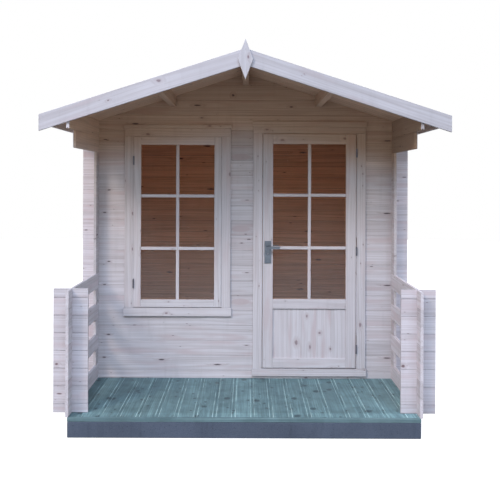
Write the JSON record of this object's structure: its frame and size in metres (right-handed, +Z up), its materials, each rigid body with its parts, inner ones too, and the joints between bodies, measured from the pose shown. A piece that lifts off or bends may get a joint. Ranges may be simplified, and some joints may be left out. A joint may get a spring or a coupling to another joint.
{
  "type": "log cabin",
  "caption": "Log cabin with notched tongue-and-groove log corners, a low gable roof, a railed porch, a tall window and a half-glazed door that opens.",
  "frame": {"origin": "on the ground, under the middle of the roof's plan", "axes": "+Z up, -Y towards the porch and door, +X to the right as seen from the front"},
  "size_m": [2.601, 3.415, 2.5182],
  "materials": {
    "log_wood": "planed pale softwood, unpainted",
    "trim_wood": "planed pale softwood, unpainted",
    "treated_wood": "green pressure-treated boards",
    "base_stone": "smooth slate-grey concrete",
    "roof_felt": "mineral roofing felt",
    "glass": "clear",
    "steel": "satin"
  },
  "bodies": {
    "cabin": {"left_wall_logs": "log_wood", "left_rail_logs": "log_wood", "left_eaves_logs": "log_wood", "right_wall_logs": "log_wood", "right_rail_logs": "log_wood", "right_eaves_logs": "log_wood", "back_wall_logs": "log_wood", "back_gable_logs": "log_wood", "front_left_logs": "log_wood", "front_sill_logs": "log_wood", "front_middle_logs": "log_wood", "front_right_logs": "log_wood", "front_gable_logs": "log_wood", "left_rail_post": "log_wood", "right_rail_post": "log_wood", "ridge_purlin": "log_wood", "side_purlins": "log_wood", "left_roof_boards": "log_wood", "right_roof_boards": "log_wood", "eaves_fascias": "trim_wood", "front_bargeboards": "trim_wood", "back_bargeboards": "trim_wood", "front_finial": "trim_wood", "back_finial": "trim_wood", "window_lining": "trim_wood", "window_surround": "trim_wood", "window_sash": "trim_wood", "door_lining": "trim_wood", "door_surround": "trim_wood", "cabin_floor": "treated_wood", "porch_deck": "treated_wood", "deck_front_trim": "treated_wood", "base_plinth": "base_stone", "roof_felt": "roof_felt", "window_glass": "glass", "window_hinges": "steel", "door_hinge_pins": "steel"},
    "door": {"door_leaf": "trim_wood", "door_panel": "trim_wood", "door_glass": "glass", "door_hinge_flags": "steel", "door_plates": "steel"},
    "lever": {"door_lever": "steel"}
  },
  "joints": [
    {"name": "door_hinge", "type": "hinge", "parent": "cabin", "child": "door", "pos_m": [0.842, -0.7155, 0.965], "axis": [0, 0, 1], "range_deg": [0, 100]},
    {"name": "lever_turn", "type": "hinge", "parent": "door", "child": "lever", "pos_m": [0.1715, -0.6895, 1.126], "axis": [0, 1, 0], "range_deg": [0, 40], "stiffness_Nm_per_rad": 1, "springref_deg": -28.65}
  ]
}
